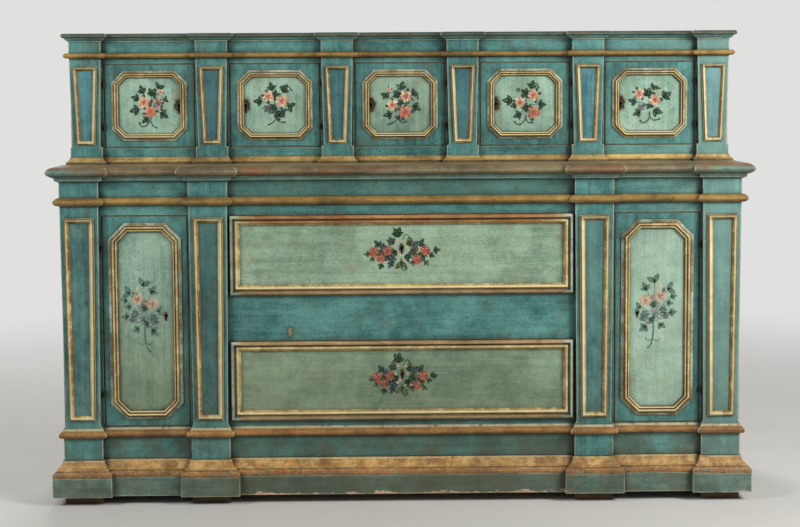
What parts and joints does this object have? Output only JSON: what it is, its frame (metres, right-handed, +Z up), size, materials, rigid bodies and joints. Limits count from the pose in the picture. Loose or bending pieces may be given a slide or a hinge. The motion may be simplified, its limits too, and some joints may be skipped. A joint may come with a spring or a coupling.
{
  "type": "painted two-part cupboard",
  "caption": "Painted wooden cupboard: a deep lower case of end doors and long drawers, and a set-back upper case of small doors between tapered pilasters with gilt mouldings",
  "frame": {"origin": "on the floor under the middle of the bounding box", "axes": "+X to the right across the front, -Y out of the front, +Z up"},
  "size_m": [2.29, 0.596, 1.545],
  "materials": {
    "teal_paint": "old grey-teal distemper over softwood, worn and speckled",
    "panel_paint": "pale grey-green painted panel, crackled, with a darker teal margin",
    "gilt_paint": "dull ochre and gold painted moulding, rubbed on its high edges",
    "worktop_paint": "olive-brown paint worn to red-brown wood along the edge",
    "plinth_paint": "grey-green paint, chipped along the lower edge",
    "bare_wood": "old unpainted softwood",
    "iron": "dark wrought iron"
  },
  "bodies": {
    "carcass": {"back_planks": "bare_wood", "base_moulding": "gilt_paint", "drawer_runners": "bare_wood", "feet": "plinth_paint", "frieze_beads": "gilt_paint", "hinge_fixed_leaves": "iron", "lower_face_frame": "teal_paint", "lower_floor": "bare_wood", "lower_pilasters": "teal_paint", "lower_shelves": "bare_wood", "lower_uprights": "teal_paint", "pilaster_frames": "gilt_paint", "plinth": "plinth_paint", "upper_base_moulding": "gilt_paint", "upper_cornice": "teal_paint", "upper_face_frame": "teal_paint", "upper_floor_and_top": "bare_wood", "upper_pilasters": "teal_paint", "upper_uprights": "teal_paint", "waist_moulding": "gilt_paint", "worktop": "worktop_paint", "worktop_moulding": "worktop_paint"},
    "left_door": {"left_door_board": "panel_paint", "left_door_moulding": "gilt_paint", "left_door_ironwork": "iron"},
    "left_door_lock_bolt": {"left_door_bolt": "iron"},
    "right_door": {"right_door_board": "panel_paint", "right_door_moulding": "gilt_paint", "right_door_ironwork": "iron"},
    "right_door_lock_bolt": {"right_door_bolt": "iron"},
    "small_door_1": {"small_door_1_board": "panel_paint", "small_door_1_moulding": "gilt_paint", "small_door_1_ironwork": "iron"},
    "small_door_1_lock_bolt": {"small_door_1_bolt": "iron"},
    "small_door_2": {"small_door_2_board": "panel_paint", "small_door_2_moulding": "gilt_paint", "small_door_2_ironwork": "iron"},
    "small_door_2_lock_bolt": {"small_door_2_bolt": "iron"},
    "small_door_3": {"small_door_3_board": "panel_paint", "small_door_3_moulding": "gilt_paint", "small_door_3_ironwork": "iron"},
    "small_door_3_lock_bolt": {"small_door_3_bolt": "iron"},
    "small_door_4": {"small_door_4_board": "panel_paint", "small_door_4_moulding": "gilt_paint", "small_door_4_ironwork": "iron"},
    "small_door_4_lock_bolt": {"small_door_4_bolt": "iron"},
    "small_door_5": {"small_door_5_board": "panel_paint", "small_door_5_moulding": "gilt_paint", "small_door_5_ironwork": "iron"},
    "small_door_5_lock_bolt": {"small_door_5_bolt": "iron"},
    "low_drawer": {"low_drawer_front": "panel_paint", "low_drawer_moulding": "gilt_paint", "low_drawer_box": "bare_wood", "low_drawer_lock": "iron"},
    "low_drawer_lock_bolt": {"low_drawer_bolt": "iron"},
    "top_drawer": {"top_drawer_front": "panel_paint", "top_drawer_moulding": "gilt_paint", "top_drawer_box": "bare_wood", "top_drawer_lock": "iron"},
    "top_drawer_lock_bolt": {"top_drawer_bolt": "iron"}
  },
  "joints": [
    {"name": "left_door_hinge", "type": "hinge", "parent": "carcass", "child": "left_door", "pos_m": [-0.9765, -0.2468, 0.6015], "axis": [0, 0, -1], "range_deg": [0, 95]},
    {"name": "left_door_bolt_throw", "type": "slide", "parent": "left_door", "child": "left_door_lock_bolt", "axis": [1, 0, 0], "range_m": [0, 0.01]},
    {"name": "right_door_hinge", "type": "hinge", "parent": "carcass", "child": "right_door", "pos_m": [0.9765, -0.2468, 0.6015], "axis": [0, 0, 1], "range_deg": [0, 95]},
    {"name": "right_door_bolt_throw", "type": "slide", "parent": "right_door", "child": "right_door_lock_bolt", "axis": [-1, 0, 0], "range_m": [0, 0.01]},
    {"name": "small_door_1_hinge", "type": "hinge", "parent": "carcass", "child": "small_door_1", "pos_m": [-0.9965, -0.0518, 1.303], "axis": [0, 0, -1], "range_deg": [0, 95]},
    {"name": "small_door_1_bolt_throw", "type": "slide", "parent": "small_door_1", "child": "small_door_1_lock_bolt", "axis": [1, 0, 0], "range_m": [0, 0.01]},
    {"name": "small_door_2_hinge", "type": "hinge", "parent": "carcass", "child": "small_door_2", "pos_m": [-0.2701, -0.0518, 1.303], "axis": [0, 0, 1], "range_deg": [0, 95]},
    {"name": "small_door_2_bolt_throw", "type": "slide", "parent": "small_door_2", "child": "small_door_2_lock_bolt", "axis": [-1, 0, 0], "range_m": [0, 0.01]},
    {"name": "small_door_3_hinge", "type": "hinge", "parent": "carcass", "child": "small_door_3", "pos_m": [0.1521, -0.0518, 1.303], "axis": [0, 0, 1], "range_deg": [0, 95]},
    {"name": "small_door_3_bolt_throw", "type": "slide", "parent": "small_door_3", "child": "small_door_3_lock_bolt", "axis": [-1, 0, 0], "range_m": [0, 0.01]},
    {"name": "small_door_4_hinge", "type": "hinge", "parent": "carcass", "child": "small_door_4", "pos_m": [0.5743, -0.0518, 1.303], "axis": [0, 0, 1], "range_deg": [0, 95]},
    {"name": "small_door_4_bolt_throw", "type": "slide", "parent": "small_door_4", "child": "small_door_4_lock_bolt", "axis": [-1, 0, 0], "range_m": [0, 0.01]},
    {"name": "small_door_5_hinge", "type": "hinge", "parent": "carcass", "child": "small_door_5", "pos_m": [0.9965, -0.0518, 1.303], "axis": [0, 0, 1], "range_deg": [0, 95]},
    {"name": "small_door_5_bolt_throw", "type": "slide", "parent": "small_door_5", "child": "small_door_5_lock_bolt", "axis": [-1, 0, 0], "range_m": [0, 0.01]},
    {"name": "low_drawer_slide", "type": "slide", "parent": "carcass", "child": "low_drawer", "axis": [0, -1, 0], "range_m": [0, 0.4]},
    {"name": "low_drawer_bolt_throw", "type": "slide", "parent": "low_drawer", "child": "low_drawer_lock_bolt", "axis": [0, 0, 1], "range_m": [0, 0.01]},
    {"name": "top_drawer_slide", "type": "slide", "parent": "carcass", "child": "top_drawer", "axis": [0, -1, 0], "range_m": [0, 0.4]},
    {"name": "top_drawer_bolt_throw", "type": "slide", "parent": "top_drawer", "child": "top_drawer_lock_bolt", "axis": [0, 0, 1], "range_m": [0, 0.01]}
  ]
}
